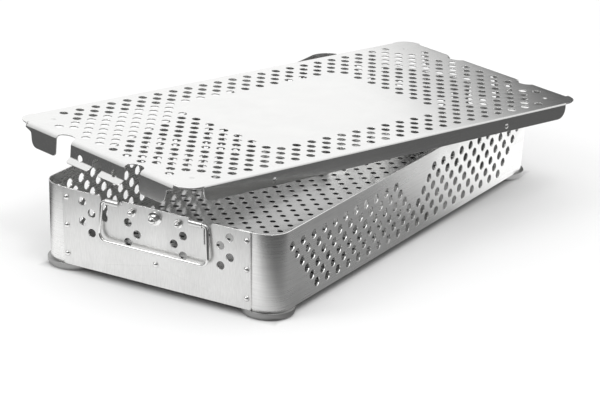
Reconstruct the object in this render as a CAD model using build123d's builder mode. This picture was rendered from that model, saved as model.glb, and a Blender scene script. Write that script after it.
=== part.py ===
"""Sterilization basket: perforated sheet, two wire handles, four feet and a loose lid.

Millimetres. X runs along the basket, Y across it and Z up. The origin is on the
ground, under the middle of the basket. Front is the end towards -X.
"""

import os
from math import atan2, cos, radians, sin, tan

from build123d import *

os.makedirs("parts", exist_ok=True)

# Basket
rim_length = 535.6  # over the end plates, at the rim
basket_width = 254.9
wall_height = 76.7
corner_radius = 22.1
end_lean = 4.5  # degrees that the end walls lean in towards the floor
wall_sheet = 1.2
plate_sheet = 1.3
floor_sheet = 1.0
sheet_gap = 0.1  # between the floor's edge and the walls

# Perforation, on a square grid turned by 45 degrees
hole_pitch = 19.8
wall_hole = 9.0
plate_hole = 8.4
floor_hole = 5.8
row_step = hole_pitch / 2

# Side walls
side_row_drop = 15.8  # from the rim to the first row
side_rows = 6
side_row_reach = 12  # pitches from the middle to the first row's last hole
side_blank_reach = 1  # pitches, half width of the blank triangle under the rim
return_edge = 88.0  # from the middle to where the walls end behind the plates

# Floor
floor_row_reach = 11  # half pitches from the middle to the last row
floor_hole_reach = 12  # pitches
floor_hole_margin = 5.0  # clear of the feet
floor_flange_reach = 86.0
floor_flange_height = 28.0

# End plates
plate_reach = 101.0
plate_corner = 3.0
plate_row_drop = 9.7
outer_hole_places = ((4, 0), (3.5, 1), (4, 2), (3.5, 3))  # pitches from the middle, row
inner_hole_places = ((1.5, 1), (1, 2), (1.5, 3))
rivet_reach = 96.8
rivet_drops = (8.9, 37.1, 65.8)
middle_rivet_drop = 55.0

# Hinge knuckles, curled out of the plates, with a slot beside each for the handle
knuckle_inner = 38.0
knuckle_outer = 51.8
notch_width = 2.0
notch_depth = 4.5
slot_outer = 58.5
slot_depth = 25.0
slot_corner = 4.0

# Handles
wire = 3.3
hinge_clearance = 0.08  # on the radius
handle_top = 56.4  # from the middle to a leg's line at the hinge
handle_bottom = 58.8
handle_drop = 38.8
handle_bend = 4.5
handle_corner = 7.5
wire_end_inset = 0.6  # the wire ends this far inside its knuckle

# Fasteners
fastener_fit = 0.05  # on the radius
rivet_head = 3.0
rivet_dome = 2.2
rivet_shank = 1.6
rivet_tail = 2.6
rivet_tail_height = 0.9
nut_reach = 25.0
nut_drop = 8.5
washer_radius = 4.2
washer_sheet = 0.8
small_nut_flats = 5.5
small_nut_height = 2.4
small_nut_dome = 2.4
small_screw = 1.5
small_screw_head = 2.8
small_screw_head_height = 1.8
middle_nut_drop = 9.0
flange_radius = 7.0
flange_height = 1.4
middle_nut_flats = 8.0
middle_nut_height = 3.6
middle_nut_dome = 3.6
middle_screw = 2.5
middle_screw_head = 4.4
middle_screw_head_height = 2.6
screw_tip_gap = 0.4

# Feet
foot_height = 7.0
foot_radius = 25.2
foot_round = 3.4
foot_top_round = 0.6
foot_bore = 2.1
foot_recess = 4.6
foot_recess_depth = 3.0
foot_screw_head = 4.2
foot_screw_head_height = 2.2
foot_screw_cap_height = 1.2

# Lid, in its own plane: U along it, V across it, from the top of its plate down
lid_sheet = 1.0
lid_half_length = 266.5
lid_half_width = 123.0
lid_bend = 4.5
lid_side_bend = 2.0
lid_ear = 18.0
lid_hole = 8.5
lid_row_reaches = (12.5, 12, 12.5, 12, 12.5, 12, 11.5, 12, 12.5, 11, 10.5, 11)
lid_window_reach = 6  # pitches, half length of the blank window
lid_window_rows = 8  # rows from the middle with the window
tongue_edge = 88.0
tongue_shoulder = (97.0, -12.0)
tongue_ear = (105.6, -5.0)
tongue_depth = 21.5
tongue_round = 4.0
cutout_inner = 38.5
cutout_outer = 60.0
cutout_depth = 11.0
lip_fold = 15.8
lip_bend = 1.2
lip_depth = 19.5
lip_out = 5.6
lip_inner = 7.0
lip_hole_place = 24.5
lip_hole_depth = 13.5
lip_hole = 3.7
fold_notch_half = 5.0
fold_notch_depth = 7.5
skirt_depth = 15.5
skirt_reach = 244.0
skirt_round = 10.0
skirt_dimple_reach = 157.0
skirt_dimple_depth = 9.8
dimple_radius = 2.6
dimple_height = 0.8
punch_place = (238.0, 99.0)
punch_radius = 1.3
punch_depth = 0.3

# How the lid lies, off the straight, on the rear rim
lid_middle = (3.3, -3.0)
lid_seat_gap = 0.2  # under the lip that bears on the rear rim
lid_roll = 0.75
lid_pitch = 1.52
lid_yaw = -16.78

# Planes and sizes that follow
rim = foot_height + wall_height
lean = radians(end_lean)
lean_in = wall_height * tan(lean)
wall_run = wall_height / cos(lean)
wall_across = wall_sheet / cos(lean)
plate_across = plate_sheet / cos(lean)
end_half = rim_length / 2 - plate_across  # over the walls, at the rim
plate_run = wall_run - plate_sheet * tan(lean)
half_width = basket_width / 2
roll_bore = wire / 2 + hinge_clearance
roll_radius = roll_bore + plate_sheet
foot_x = end_half - lean_in - corner_radius
foot_y = half_width - corner_radius

front = Plane(origin=(-end_half, 0, rim), x_dir=(0, -1, 0), z_dir=(-cos(lean), 0, -sin(lean)))
rear = Plane(origin=(end_half, 0, rim), x_dir=(0, 1, 0), z_dir=(cos(lean), 0, -sin(lean)))
pivot = front.from_local_coords(Vector(0, -roll_radius, plate_sheet + roll_bore))
knuckle_plane = Plane(origin=pivot, x_dir=front.z_dir, z_dir=front.x_dir)
handle_plane = Plane(origin=pivot, x_dir=(0, -1, 0), z_dir=(-1, 0, 0))

side_rivets = [(side * rivet_reach, -drop) for side in (-1, 1) for drop in rivet_drops]
middle_rivet = (0, -middle_rivet_drop)
small_nuts = [(side * nut_reach, -nut_drop) for side in (-1, 1)]
middle_nut = (0, -middle_nut_drop)
foot_spots = [(end * foot_x, side * foot_y) for end in (-1, 1) for side in (-1, 1)]


def steps(first, last):
    """Whole steps of 1 from first to last, both taken in."""
    return [first + step for step in range(int(last - first + 1.001))]


def finish(piece, name):
    """Name a finished piece and write it."""
    piece.part.label = name
    export_step(piece.part, f"parts/{name}.step")


# Perforation of the side walls: each row is half a pitch shorter at both ends
side_holes = []
for row in range(side_rows):
    reach = side_row_reach - row / 2
    for place in steps(-reach, reach):
        if abs(place) > side_blank_reach - row / 2:
            side_holes.append((place * hole_pitch, rim - side_row_drop - row * row_step))

# Perforation of the floor, left blank over the feet
floor_holes = []
for row in steps(-floor_row_reach, floor_row_reach):
    reach = floor_hole_reach - (0.5 if row % 2 == 0 else 0)
    for place in steps(-reach, reach):
        x, y = place * hole_pitch, row * row_step
        foot_distance = (Vector(abs(x), abs(y)) - Vector(foot_x, foot_y)).length
        if foot_distance > foot_radius + floor_hole_margin:
            floor_holes.append((x, y))

# Perforation of the lid, left blank in its window
lid_holes = []
for row in steps(-len(lid_row_reaches) + 1, len(lid_row_reaches) - 1):
    reach = lid_row_reaches[abs(row)]
    for place in steps(-reach, reach):
        if abs(row) >= lid_window_rows or abs(place) >= lid_window_reach:
            lid_holes.append((place * hole_pitch, row * row_step))

# Perforation of the end plates
plate_holes = []
for place, row in outer_hole_places + inner_hole_places:
    for side in (-1, 1):
        plate_holes.append((side * place * hole_pitch, -plate_row_drop - row * row_step))


# Side walls: a rounded band, cut behind the end plates
with BuildPart() as side_wall_right:
    with BuildSketch(Plane.XY.offset(foot_height)):
        RectangleRounded(2 * (end_half - lean_in), basket_width, corner_radius)
    with BuildSketch(Plane.XY.offset(rim)):
        RectangleRounded(2 * end_half, basket_width, corner_radius)
    loft()
    inner_width = basket_width - 2 * wall_sheet
    inner_radius = corner_radius - wall_sheet
    with BuildSketch(Plane.XY.offset(foot_height)):
        RectangleRounded(2 * (end_half - lean_in - wall_across), inner_width, inner_radius)
    with BuildSketch(Plane.XY.offset(rim)):
        RectangleRounded(2 * (end_half - wall_across), inner_width, inner_radius)
    loft(mode=Mode.SUBTRACT)
    split(bisect_by=Plane.XZ.offset(return_edge), keep=Keep.TOP)
    with BuildSketch(Plane.XZ.offset(half_width)):
        with Locations(*side_holes):
            Circle(wall_hole / 2)
    extrude(amount=-2 * wall_sheet, mode=Mode.SUBTRACT)
    with BuildSketch(front, rear):
        with Locations(*side_rivets):
            Circle(rivet_shank + fastener_fit)
    extrude(amount=-2 * wall_sheet, mode=Mode.SUBTRACT)
finish(side_wall_right, "side_wall_right")

with BuildPart() as side_wall_left:
    mirror(side_wall_right.part, about=Plane.XZ)
finish(side_wall_left, "side_wall_left")


# Floor, with a flange turned up behind each end plate
with BuildPart() as floor_panel:
    with BuildSketch(Plane.XY.offset(foot_height)):
        RectangleRounded(
            2 * (end_half - lean_in - wall_across - sheet_gap),
            inner_width - 2 * sheet_gap,
            inner_radius - sheet_gap,
        )
        Rectangle(2 * (end_half - lean_in), 2 * floor_flange_reach)
        with Locations(*floor_holes):
            Circle(floor_hole / 2, mode=Mode.SUBTRACT)
        with Locations(*foot_spots):
            Circle(foot_bore + fastener_fit, mode=Mode.SUBTRACT)
    extrude(amount=floor_sheet)
    with BuildSketch(front, rear):
        with Locations((0, -wall_run)):
            Rectangle(
                2 * floor_flange_reach,
                floor_flange_height,
                align=(Align.CENTER, Align.MIN),
            )
        with Locations(middle_rivet):
            Circle(rivet_shank + fastener_fit, mode=Mode.SUBTRACT)
    extrude(amount=-floor_sheet)
finish(floor_panel, "floor_panel")


# End plate with its two curled knuckles
with BuildPart() as end_plate_front:
    with BuildSketch(front) as plate_face:
        Rectangle(2 * plate_reach, plate_run, align=(Align.CENTER, Align.MAX))
        fillet(plate_face.vertices().group_by(Axis.Y)[-1], plate_corner)
        slot_width = slot_outer - knuckle_outer
        knuckle_width = knuckle_outer - knuckle_inner
        for side in (-1, 1):
            with Locations((side * (knuckle_outer + slot_width / 2), 0)):
                Rectangle(
                    slot_width,
                    slot_depth - slot_width / 2,
                    align=(Align.CENTER, Align.MAX),
                    mode=Mode.SUBTRACT,
                )
            with Locations((side * (knuckle_outer + slot_width / 2), slot_width / 2 - slot_depth)):
                Circle(slot_width / 2, mode=Mode.SUBTRACT)
            with Locations((side * (knuckle_inner - notch_width / 2), 0)):
                Rectangle(
                    notch_width, notch_depth, align=(Align.CENTER, Align.MAX), mode=Mode.SUBTRACT
                )
            with Locations((side * (knuckle_inner + knuckle_width / 2), 0)):
                Rectangle(
                    knuckle_width, roll_radius, align=(Align.CENTER, Align.MAX), mode=Mode.SUBTRACT
                )
        slot_shoulders = plate_face.vertices().filter_by(
            lambda corner: abs(abs(corner.X) - slot_outer) < 0.01 and abs(corner.Y) < 0.01
        )
        fillet(slot_shoulders, slot_corner)
        with Locations(*plate_holes):
            Circle(plate_hole / 2, mode=Mode.SUBTRACT)
        with Locations(*side_rivets, middle_rivet):
            Circle(rivet_shank + fastener_fit, mode=Mode.SUBTRACT)
        with Locations(*small_nuts):
            Circle(small_screw + fastener_fit, mode=Mode.SUBTRACT)
        with Locations(middle_nut):
            Circle(middle_screw + fastener_fit, mode=Mode.SUBTRACT)
    extrude(amount=plate_sheet)
    for side in (-1, 1):
        with BuildSketch(knuckle_plane.offset(side * (knuckle_inner + knuckle_width / 2))):
            Circle(roll_radius)
            Circle(roll_bore, mode=Mode.SUBTRACT)
            Rectangle(
                roll_radius, roll_radius, align=(Align.MAX, Align.MIN), mode=Mode.SUBTRACT
            )
        extrude(amount=knuckle_width / 2, both=True)
finish(end_plate_front, "end_plate_front")

with BuildPart() as end_plate_rear:
    mirror(end_plate_front.part, about=Plane.YZ)
finish(end_plate_rear, "end_plate_rear")


# Carrying handles: a bent wire that turns in the knuckles and hangs plumb
with BuildPart() as handle_front:
    with BuildLine(handle_plane) as bend_line:
        FilletPolyline(
            (-knuckle_inner - wire_end_inset, 0),
            (-handle_top, 0),
            (-handle_bottom, -handle_drop),
            (handle_bottom, -handle_drop),
            (handle_top, 0),
            (knuckle_inner + wire_end_inset, 0),
            radius=[handle_bend, handle_corner, handle_corner, handle_bend],
        )
    with BuildSketch(Plane(origin=bend_line.line @ 0, z_dir=bend_line.line % 0)):
        Circle(wire / 2)
    sweep(path=bend_line.line)
finish(handle_front, "handle_front")

with BuildPart() as handle_rear:
    mirror(handle_front.part, about=Plane.YZ)
finish(handle_rear, "handle_rear")


def make_dome(radius, height):
    """A cap of a ball, with its flat face down."""
    ball = (radius**2 + height**2) / (2 * height)
    with BuildPart() as dome:
        with Locations((0, 0, height - ball)):
            Sphere(ball)
        split(bisect_by=Plane.XY, keep=Keep.TOP)
    return dome.part


def from_base(radius, height):
    """A cylinder that stands on its base."""
    return Cylinder(radius, height, align=(Align.CENTER, Align.CENTER, Align.MIN))


rivet_cap = make_dome(rivet_head, rivet_dome)
small_nut_cap = make_dome(small_nut_flats / 2, small_nut_dome)
middle_nut_cap = make_dome(middle_nut_flats / 2, middle_nut_dome)
small_head_cap = make_dome(small_screw_head, small_screw_head_height)
middle_head_cap = make_dome(middle_screw_head, middle_screw_head_height)
foot_head_cap = make_dome(foot_screw_head, foot_screw_cap_height)

# How far each nut's bore and its screw reach out from the plate's inner face
small_seat = plate_sheet + washer_sheet
small_tip = small_seat + small_nut_height
middle_seat = plate_sheet + flange_height
middle_tip = middle_seat + middle_nut_height


# Rivets: dome outside, shank through both sheets, flat tail inside
with BuildPart(front) as rivets_front:
    rivet_grips = [(spot, wall_sheet) for spot in side_rivets]
    rivet_grips.append((middle_rivet, floor_sheet))
    for (across, down), grip in rivet_grips:
        with Locations((across, down, plate_sheet)):
            add(rivet_cap)
        with Locations((across, down, -grip)):
            from_base(rivet_shank, grip + plate_sheet)
        with Locations((across, down, -grip - rivet_tail_height)):
            from_base(rivet_tail, rivet_tail_height)
finish(rivets_front, "rivets_front")

with BuildPart() as rivets_rear:
    mirror(rivets_front.part, about=Plane.YZ)
finish(rivets_rear, "rivets_rear")


# Small cap nuts with their washers, and screws with round heads inside
with BuildPart(front) as washers_front:
    with BuildSketch(front.offset(plate_sheet)):
        with Locations(*small_nuts):
            Circle(washer_radius)
            Circle(small_screw + fastener_fit, mode=Mode.SUBTRACT)
    extrude(amount=washer_sheet)
finish(washers_front, "washers_front")

with BuildPart(front) as cap_nuts_front:
    with BuildSketch(front.offset(small_seat)):
        with Locations(*small_nuts):
            RegularPolygon(small_nut_flats / 2, 6, major_radius=False)
    extrude(amount=small_nut_height)
    for across, down in small_nuts:
        with Locations((across, down, small_tip)):
            add(small_nut_cap)
    with BuildSketch(front.offset(small_seat)):
        with Locations(*small_nuts):
            Circle(small_screw + fastener_fit)
    extrude(amount=small_nut_height, mode=Mode.SUBTRACT)
finish(cap_nuts_front, "cap_nuts_front")

with BuildPart(front) as snap_screws_front:
    for across, down in small_nuts:
        with Locations(Location((across, down, 0), (180, 0, 0))):
            add(small_head_cap)
        with Locations((across, down, 0)):
            from_base(small_screw, small_tip - screw_tip_gap)
finish(snap_screws_front, "snap_screws_front")

# Middle cap nut with its flange, and its screw
with BuildPart(front) as centre_nut_front:
    with Locations((*middle_nut, plate_sheet)):
        from_base(flange_radius, flange_height)
    with BuildSketch(front.offset(middle_seat)):
        with Locations(middle_nut):
            RegularPolygon(middle_nut_flats / 2, 6, major_radius=False)
    extrude(amount=middle_nut_height)
    with Locations((*middle_nut, middle_tip)):
        add(middle_nut_cap)
    with BuildSketch(front.offset(plate_sheet)):
        with Locations(middle_nut):
            Circle(middle_screw + fastener_fit)
    extrude(amount=flange_height + middle_nut_height, mode=Mode.SUBTRACT)
finish(centre_nut_front, "centre_nut_front")

with BuildPart(front) as centre_screw_front:
    with Locations(Location((*middle_nut, 0), (180, 0, 0))):
        add(middle_head_cap)
    with Locations((*middle_nut, 0)):
        from_base(middle_screw, middle_tip - screw_tip_gap)
finish(centre_screw_front, "centre_screw_front")

front_fasteners = {
    "washers_rear": washers_front,
    "cap_nuts_rear": cap_nuts_front,
    "snap_screws_rear": snap_screws_front,
    "centre_nut_rear": centre_nut_front,
    "centre_screw_rear": centre_screw_front,
}
for name, fastener in front_fasteners.items():
    with BuildPart() as rear_fastener:
        mirror(fastener.part, about=Plane.YZ)
    finish(rear_fastener, name)


# Feet: round discs under the corners, bored for a screw from below
foot_names = ("foot_front_right", "foot_front_left", "foot_rear_right", "foot_rear_left")
for name, spot in zip(foot_names, foot_spots):
    with BuildPart() as foot:
        with BuildSketch(Plane(origin=(*spot, 0))):
            Circle(foot_radius)
        extrude(amount=foot_height)
        fillet(foot.faces().sort_by(Axis.Z)[0].edges(), foot_round)
        fillet(foot.faces().sort_by(Axis.Z)[-1].edges(), foot_top_round)
        with BuildSketch(Plane(origin=(*spot, 0))):
            Circle(foot_bore)
        extrude(amount=foot_height, mode=Mode.SUBTRACT)
        with BuildSketch(Plane(origin=(*spot, 0))):
            Circle(foot_recess)
        extrude(amount=foot_recess_depth, mode=Mode.SUBTRACT)
    finish(foot, name)

with BuildPart() as foot_screws:
    floor_top = foot_height + floor_sheet
    for spot in foot_spots:
        with Locations((*spot, foot_recess_depth - foot_screw_head_height)):
            from_base(foot_screw_head, foot_screw_head_height)
        with Locations((*spot, foot_recess_depth)):
            from_base(foot_bore - fastener_fit, floor_top - foot_recess_depth)
        with Locations((*spot, floor_top)):
            add(foot_head_cap)
finish(foot_screws, "foot_screws")


# The lid's height comes from the low edge of the rear lip, where it crosses the plate's top
lid_turn = Plane.XY.rotated((lid_roll, lid_pitch, lid_yaw), ordering=Extrinsic.XYZ)
lip_slope = atan2(lip_depth - lip_fold, lip_out)
lip_low = lid_turn.x_dir * (lid_half_length + lip_out - lid_sheet * sin(lip_slope))
lip_low -= lid_turn.z_dir * (lip_depth + lid_sheet * cos(lip_slope))
crossing = (end_half - lid_middle[0] - lip_low.X) / lid_turn.y_dir.X
lid_rise = lid_seat_gap - lip_low.Z - crossing * lid_turn.y_dir.Z

# Lid: one folded sheet, drawn in its own tilted plane
lid_top = Plane(origin=(*lid_middle, rim + lid_rise)).rotated(
    (lid_roll, lid_pitch, lid_yaw), ordering=Extrinsic.XYZ
)
lid_section = Plane(origin=lid_top.origin, x_dir=lid_top.x_dir, z_dir=-lid_top.y_dir)
lid_cross = Plane(origin=lid_top.origin, x_dir=lid_top.y_dir, z_dir=lid_top.x_dir)


def folded(section, *outer_face, bends):
    """The section of a sheet folded along the line of its outer face."""
    with BuildSketch(section) as fold:
        with BuildLine():
            FilletPolyline(*outer_face, radius=bends)
            offset(amount=lid_sheet, side=Side.RIGHT)
        make_face()
    return fold.sketch


def outline(section, *corners, rounds):
    """A closed outline with each corner rounded by its own radius."""
    with BuildSketch(section) as shape:
        with BuildLine():
            FilletPolyline(*corners, radius=rounds, close=True)
        make_face()
    return shape.sketch


bend_start = lid_half_length - lid_bend - lid_sheet
side_bend_start = lid_half_width - lid_side_bend - lid_sheet
lip_edge = lid_half_length + lip_out
past_lip = lip_depth + lid_sheet
ear_reach, ear_depth = tongue_ear
cutout_radius = (cutout_outer - cutout_inner) / 2
cutout_middle = cutout_inner + cutout_radius

# The lid's end tongues, folded down at the outer parts of both ends
with BuildPart() as tongues:
    fold_line = [(bend_start, 0), (lid_half_length, 0), (lid_half_length, -tongue_depth)]
    extrude(folded(lid_section, *fold_line, bends=lid_bend), amount=-ear_reach)
    extrude(
        outline(
            lid_cross,
            (cutout_outer, lid_sheet),
            (cutout_outer, -tongue_depth),
            (tongue_edge, -tongue_depth),
            tongue_shoulder,
            tongue_ear,
            (ear_reach, lid_sheet),
            rounds=[0, tongue_round, tongue_round, tongue_round, 0, 0],
        ),
        amount=lip_edge,
        mode=Mode.INTERSECT,
    )
    mirror(about=lid_section)
    mirror(about=lid_cross)

# The lid's middle flange at each end, whose lips fold out either side of a notch
with BuildPart() as lips:
    fold_line = [
        (bend_start, 0),
        (lid_half_length, 0),
        (lid_half_length, -lip_fold),
        (lip_edge, -lip_depth),
    ]
    extrude(folded(lid_section, *fold_line, bends=[lid_bend, lip_bend]), amount=-cutout_inner)
    extrude(
        outline(
            lid_cross,
            (0, lid_sheet),
            (0, -fold_notch_depth),
            (fold_notch_half, -fold_notch_depth),
            (fold_notch_half, -lip_fold),
            (lip_inner, -lip_fold),
            (lip_inner, -past_lip),
            (cutout_inner, -past_lip),
            (cutout_inner, lid_sheet),
            rounds=[0, 0, fold_notch_half / 2, 0, 0, 0, 0, 0],
        ),
        amount=lip_edge,
        mode=Mode.INTERSECT,
    )
    with BuildSketch(lid_cross):
        with Locations((lip_hole_place, -lip_hole_depth)):
            Circle(lip_hole)
    extrude(amount=lip_edge, mode=Mode.SUBTRACT)
    mirror(about=lid_section)
    mirror(about=lid_cross)

# The lid's skirts, folded down along both long sides
with BuildPart() as skirts:
    fold_line = [(side_bend_start, 0), (lid_half_width, 0), (lid_half_width, -skirt_depth)]
    extrude(folded(lid_cross, *fold_line, bends=lid_side_bend), amount=skirt_reach, both=True)
    extrude(
        outline(
            lid_section,
            (-skirt_reach, lid_sheet),
            (-skirt_reach, -skirt_depth),
            (skirt_reach, -skirt_depth),
            (skirt_reach, lid_sheet),
            rounds=[0, skirt_round, skirt_round, 0],
        ),
        amount=-lid_half_width,
        mode=Mode.INTERSECT,
    )
    dimple = make_dome(dimple_radius, dimple_height)
    for end in (-1, 1):
        dimple_spot = Vector(end * skirt_dimple_reach, lid_half_width, -skirt_dimple_depth)
        dimple_origin = lid_top.from_local_coords(dimple_spot)
        with Locations(Plane(origin=dimple_origin, z_dir=lid_top.y_dir)):
            add(dimple)
    mirror(about=lid_section)

# Lid
with BuildPart() as lid:
    with BuildSketch(lid_top):
        RectangleRounded(2 * lid_half_length, 2 * lid_half_width, lid_ear)
        for end in (-1, 1):
            with Locations((end * (bend_start + lid_half_length) / 2, 0)):
                Rectangle(lid_half_length - bend_start, 2 * ear_reach, mode=Mode.SUBTRACT)
            with Locations((0, end * (side_bend_start + lid_half_width) / 2)):
                Rectangle(2 * skirt_reach, lid_half_width - side_bend_start, mode=Mode.SUBTRACT)
            for side in (-1, 1):
                cutout_place = lid_half_length - cutout_depth + cutout_radius
                with Locations((end * cutout_place, side * cutout_middle)):
                    Circle(cutout_radius, mode=Mode.SUBTRACT)
        with Locations(*lid_holes):
            Circle(lid_hole / 2, mode=Mode.SUBTRACT)
    extrude(amount=-lid_sheet)
    add(tongues.part)
    add(lips.part)
    add(skirts.part)
    with BuildSketch(lid_top):
        with GridLocations(2 * punch_place[0], 2 * punch_place[1], 2, 2):
            Circle(punch_radius)
    extrude(amount=-punch_depth, mode=Mode.SUBTRACT)
finish(lid, "lid")
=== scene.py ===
# %% [markdown]
# # A sterilization basket in stainless steel
#
# The object is a long basket of punched sheet, with a wire handle at each end, four round
# feet and a lid that lies askew on the rim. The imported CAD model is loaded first. It fixes
# every size and place, and what follows only dresses it.

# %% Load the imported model
from math import atan2, cos, pi, radians, sin, tan

import bmesh
import bpy
from mathutils import Matrix, Vector


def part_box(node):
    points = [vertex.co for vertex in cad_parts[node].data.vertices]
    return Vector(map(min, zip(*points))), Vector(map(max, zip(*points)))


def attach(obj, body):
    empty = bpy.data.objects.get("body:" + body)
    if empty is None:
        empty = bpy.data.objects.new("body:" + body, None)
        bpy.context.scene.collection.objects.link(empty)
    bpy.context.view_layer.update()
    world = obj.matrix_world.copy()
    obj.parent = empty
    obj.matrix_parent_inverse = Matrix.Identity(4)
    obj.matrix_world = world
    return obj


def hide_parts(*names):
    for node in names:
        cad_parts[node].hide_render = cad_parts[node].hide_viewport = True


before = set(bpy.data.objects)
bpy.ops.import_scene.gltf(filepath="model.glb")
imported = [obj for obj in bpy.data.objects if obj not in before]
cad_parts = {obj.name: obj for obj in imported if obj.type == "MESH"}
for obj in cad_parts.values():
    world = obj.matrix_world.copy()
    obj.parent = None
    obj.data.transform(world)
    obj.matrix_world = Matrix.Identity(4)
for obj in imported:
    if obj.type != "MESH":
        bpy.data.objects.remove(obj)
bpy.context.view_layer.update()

MM = 0.001

# %% [markdown]
# ## Camera
#
# The photograph was taken with a long lens, from in front of the near end and a little above.
# The camera stands where the even rows of holes say that it stood. Its three axes are worked
# out from two angles and a slight roll, so nothing has to be aimed by eye.

# %% Camera
camera_place = Vector((-2.3548, -1.3001, 0.9729))
camera_azimuth = radians(-61.13)
camera_elevation = radians(19.58)
camera_roll = radians(2.80)
camera_lens = 173.03
film_width = 36


def axes_matrix(*axes):
    """A matrix that turns X, Y and Z to three given directions."""
    return Matrix([Vector(axis) for axis in axes]).transposed().to_4x4()


back = Vector((
    sin(camera_azimuth) * cos(camera_elevation),
    -cos(camera_azimuth) * cos(camera_elevation),
    sin(camera_elevation),
))
right = Vector((cos(camera_azimuth), sin(camera_azimuth), 0))
up = back.cross(right)
rolled_right = cos(camera_roll) * right + sin(camera_roll) * up
rolled_up = cos(camera_roll) * up - sin(camera_roll) * right
camera_data = bpy.data.cameras.new("camera")
camera_data.lens = camera_lens
camera_data.sensor_width = film_width
camera_data.sensor_fit = "HORIZONTAL"
camera_data.clip_end = 50
camera = bpy.data.objects.new("camera", camera_data)
bpy.context.scene.collection.objects.link(camera)
camera_turn = axes_matrix(rolled_right, rolled_up, back)
camera.matrix_world = Matrix.Translation(camera_place) @ camera_turn
bpy.context.scene.camera = camera
bpy.context.scene.view_settings.view_transform = "Standard"
print("camera at", [round(c, 3) for c in camera_place])

# %% [markdown]
# ## Sizes of the sheets
#
# The dressed sheets need the same sizes as the solids. The overall ones are read from the
# frame. The rest are the sheet metal worker's own numbers, in millimetres: thicknesses,
# bend radii and how far each row of holes reaches.

# %% Sizes
low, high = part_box("side_wall_right")
foot_height = low.z / MM
rim = high.z / MM
half_width = -low.y / MM
end_half = high.x / MM
lean = radians(4.5)
lean_in = (rim - foot_height) * tan(lean)
wall_run = (rim - foot_height) / cos(lean)
corner_radius = 22.1
wall_sheet = 1.2
plate_sheet = 1.3
floor_sheet = 1.0
lid_sheet = 1.0
pitch = 19.8
row_step = pitch / 2
bore_fit = 0.05

to_metres = Matrix.Scale(MM, 4)
front_turn = axes_matrix((0, -1, 0), (-sin(lean), 0, cos(lean)), (-cos(lean), 0, -sin(lean)))
front_place = Matrix.Translation(Vector((-end_half, 0, rim)) * MM) @ front_turn @ to_metres
half_turn = Matrix.Rotation(pi, 4, "Z")
end_places = {"front": front_place, "rear": half_turn @ front_place}


def at_corners(x, y, third=0):
    """Four spots, one in each corner, that keep a third number."""
    return [(end * x, side * y, third) for end in (-1, 1) for side in (-1, 1)]


print("rim", round(rim, 2), "end half", round(end_half, 2), "half width", round(half_width, 2))

# %% [markdown]
# ## Outlines with rounded corners
#
# Every sheet starts as a flat blank. Its outline is a list of corners, each with a radius,
# and this helper turns each corner into a short arc. A corner with no radius stays sharp.

# %% Rounded outlines
def rounded(corners, steps=6):
    """Points of an outline whose corners (x, y, radius) are rounded."""
    points = []
    for turn, (x, y, radius) in enumerate(corners):
        here = Vector((x, y))
        if radius == 0:
            points.append(here)
            continue
        before = (Vector(corners[turn - 1][:2]) - here).normalized()
        after = (Vector(corners[(turn + 1) % len(corners)][:2]) - here).normalized()
        half = before.angle(after) / 2
        centre = here + (before + after).normalized() * radius / sin(half)
        start = here + before * radius / tan(half) - centre
        end = here + after * radius / tan(half) - centre
        sweep = atan2(start.x * end.y - start.y * end.x, start.dot(end))
        for step in range(steps + 1):
            angle = sweep * step / steps
            points.append(centre + Matrix.Rotation(angle, 2) @ start)
    return points


example = rounded([(0, 0, 1), (9, 0, 1), (9, 9, 1), (0, 9, 1)])
print("a square with rounded corners has", len(example), "points")

# %% [markdown]
# ## Punching the blanks with Geometry Nodes
#
# A blank comes in as edges, its outline, and loose points, its holes. The tree turns the
# edges into a curve, sets a circle on each loose point, scaled by that point's own radius,
# and fills the outline with the circles left open. Extruding the result gives the sheet its
# thickness. One tree makes the walls, the floor, the end plates and the lid.

# %% Node helpers
def feed(tree, node, values):
    """Set a node's inputs, found by name or number, from values, sockets or nodes."""
    for name, value in values.items():
        if isinstance(value, bpy.types.Node):
            value = value.outputs[0]
        if isinstance(value, bpy.types.NodeSocket):
            tree.links.new(value, node.inputs[name])
        else:
            node.inputs[name].default_value = value


def add_node(tree, kind, values=None, **settings):
    """Add a node, set its properties, and feed its inputs."""
    node = tree.nodes.new(kind)
    for name, setting in settings.items():
        setattr(node, name, setting)
    feed(tree, node, values or {})
    return node


def new_tree(name, sockets, kind="GeometryNodeTree"):
    """A tree with named inputs, and those inputs."""
    tree = bpy.data.node_groups.new(name, kind)
    for label, socket in sockets.items():
        tree.interface.new_socket(label, in_out="INPUT", socket_type="NodeSocket" + socket)
    return tree, tree.nodes.new("NodeGroupInput").outputs


def close_tree(tree, results, socket):
    """Put named results out of a tree."""
    for label in results:
        tree.interface.new_socket(label, in_out="OUTPUT", socket_type="NodeSocket" + socket)
    add_node(tree, "NodeGroupOutput", results)
    print("tree", tree.name, "has", len(tree.nodes), "nodes")
    return tree


def close_real(tree, given, geometry):
    """End a geometry tree: make its copies real and give them the material."""
    real = add_node(tree, "GeometryNodeRealizeInstances", {"Geometry": geometry})
    coated = add_node(tree, "GeometryNodeSetMaterial", {
        "Geometry": real, "Material": given["Material"],
    })
    return close_tree(tree, {"Geometry": coated}, "Geometry")


def join_parts(tree, *parts):
    """Join the first outputs of nodes into one geometry."""
    node = tree.nodes.new("GeometryNodeJoinGeometry")
    for part in parts:
        tree.links.new(part.outputs[0], node.inputs["Geometry"])
    return node

# %% The punching tree
weld_distance = 0.001

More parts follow.
